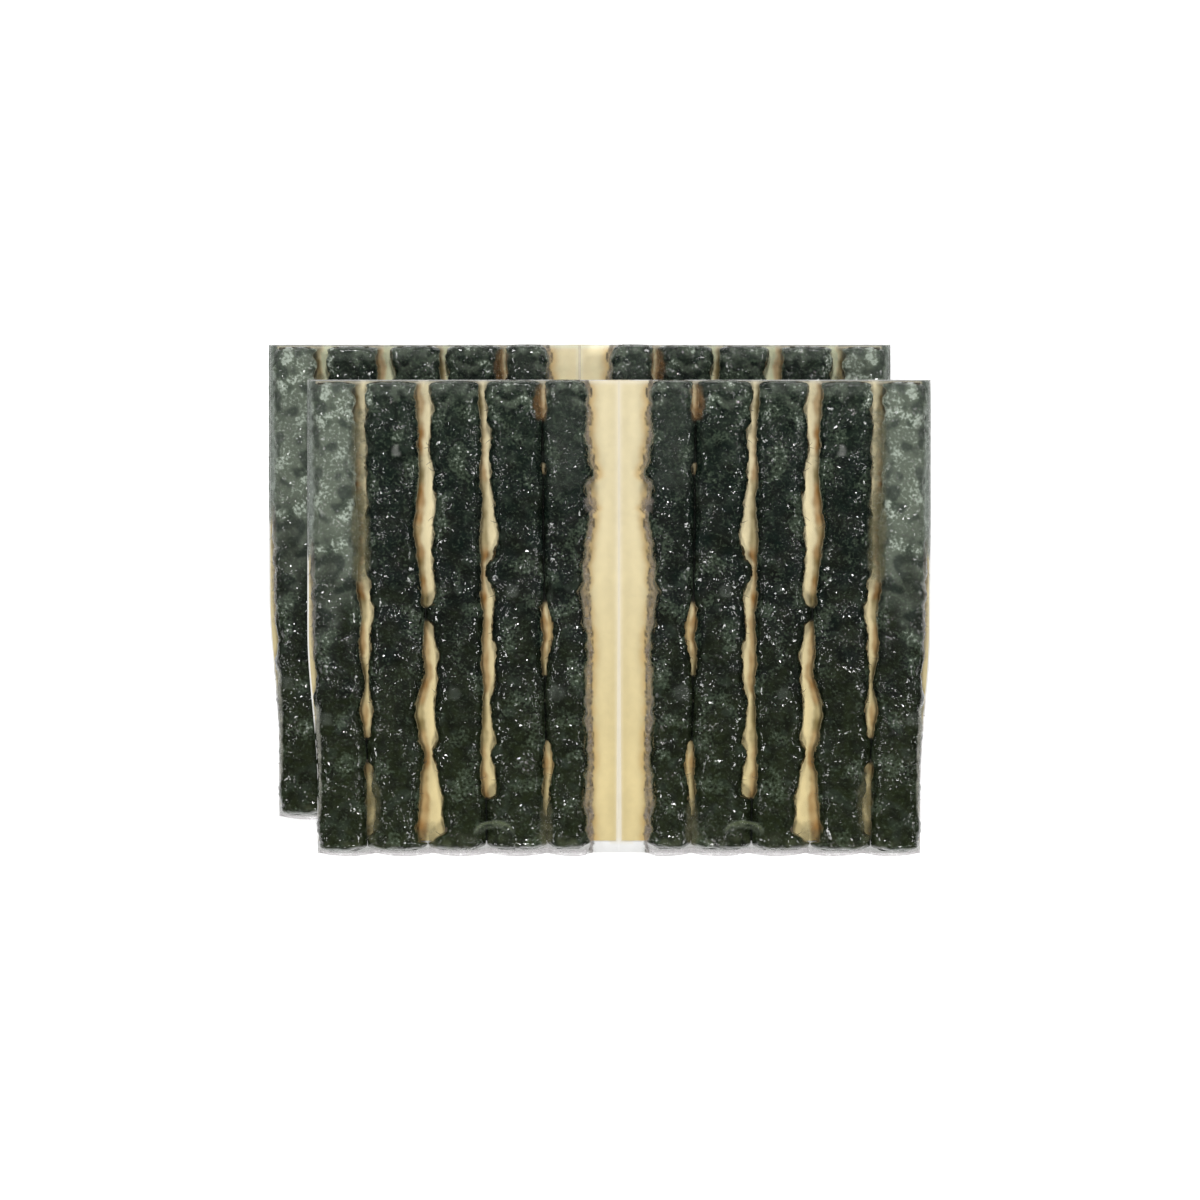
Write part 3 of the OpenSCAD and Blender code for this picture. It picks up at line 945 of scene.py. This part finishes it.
rim_width = 0.35 + np.maximum(x + beyond - lane_edges[strip_count][0] + 0.15, 0) * ramp(s, 20, 30)
rim_width = rim_width + 0.12 * scallops(s.ravel(), 1.5, 56).reshape(s.shape)
inner_rim = ramp(beyond, -0.25, 0) * (1 - ramp(beyond - rim_width, -0.1, 0.12))
inner_rim = inner_rim * (0.8 + 0.3 * cloud(u, s, 2.2, 55))
speckled = ramp(cloud(u, s, 0.33, 57), 0.1, 0.5)
spotted = mixed(np.broadcast_to(haze_lilac, haze_tint.shape), rim_dark, speckled)
haze_tint = haze_tint + (spotted - haze_tint) * np.clip(inner_rim, 0, 1)[..., None]
veil = np.maximum(veil, 0.8 * inner_rim)
dotted = (1 - ramp(np.abs(beyond - rim_width), 0.03, 0.17)) * ramp(cloud(s, 0 * s, 0.45, 58), 0.0, 0.3)
haze_tint, veil = mixed(haze_tint, rim_dark, dotted), np.maximum(veil, 0.8 * dotted)
# Light crosses both faces of the film, so each face stops only its part of it
veil = 1 - np.sqrt(1 - np.clip(veil, 0, 0.95))

clear_film, film_shader, node, link = finish_of("clear_film", haze_grey, 0.16)
tint = node("ShaderNodeAttribute")
tint.attribute_name = "tint"
haze = node("ShaderNodeAttribute")
haze.attribute_name = "haze"
crinkle = node("ShaderNodeTexNoise")
crinkle.inputs["Scale"].default_value = 1500
crinkle.inputs["Detail"].default_value = 5
crinkle.inputs["Distortion"].default_value = 0.8
relief = node("ShaderNodeBump")
relief.inputs["Strength"].default_value = 0.8
relief.inputs["Distance"].default_value = 0.00025
mottle = node("ShaderNodeMapRange")
mottle.inputs["From Min"].default_value = 0.3
mottle.inputs["From Max"].default_value = 0.7
mottle.inputs["To Min"].default_value = 0.55
mottle.inputs["To Max"].default_value = 1.3
stop = node("ShaderNodeMath")
stop.operation = "MULTIPLY"
stop.use_clamp = True
place_on = node("ShaderNodeTexCoord")
link(place_on.outputs["Object"], crinkle.inputs["Vector"])
link(tint.outputs["Color"], film_shader.inputs["Base Color"])
link(crinkle.outputs["Fac"], relief.inputs["Height"])
link(crinkle.outputs["Fac"], mottle.inputs["Value"])
link(haze.outputs["Fac"], stop.inputs[0])
link(mottle.outputs["Result"], stop.inputs[1])
link(stop.outputs["Value"], film_shader.inputs["Alpha"])
link(relief.outputs["Normal"], film_shader.inputs["Normal"])

film_faces = sheet_faces(*u.shape)
both_veils = np.r_[veil.ravel(), veil.ravel()]
both_tints = np.tile(haze_tint.reshape(-1, 3), (2, 1))
for card in cards:
    points = np.r_[card.place(u, t, under + film_thickness), card.place(u, t, under)]
    film = piece(f"{card.name}_cover_film", card, points, film_faces, clear_film,
                 haze=both_veils, tint=both_tints)
    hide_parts(f"{card.name}_film")
    if f"{card.name}_film" in frame["bodies"]:
        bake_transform(film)
    else:
        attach(film, card.name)
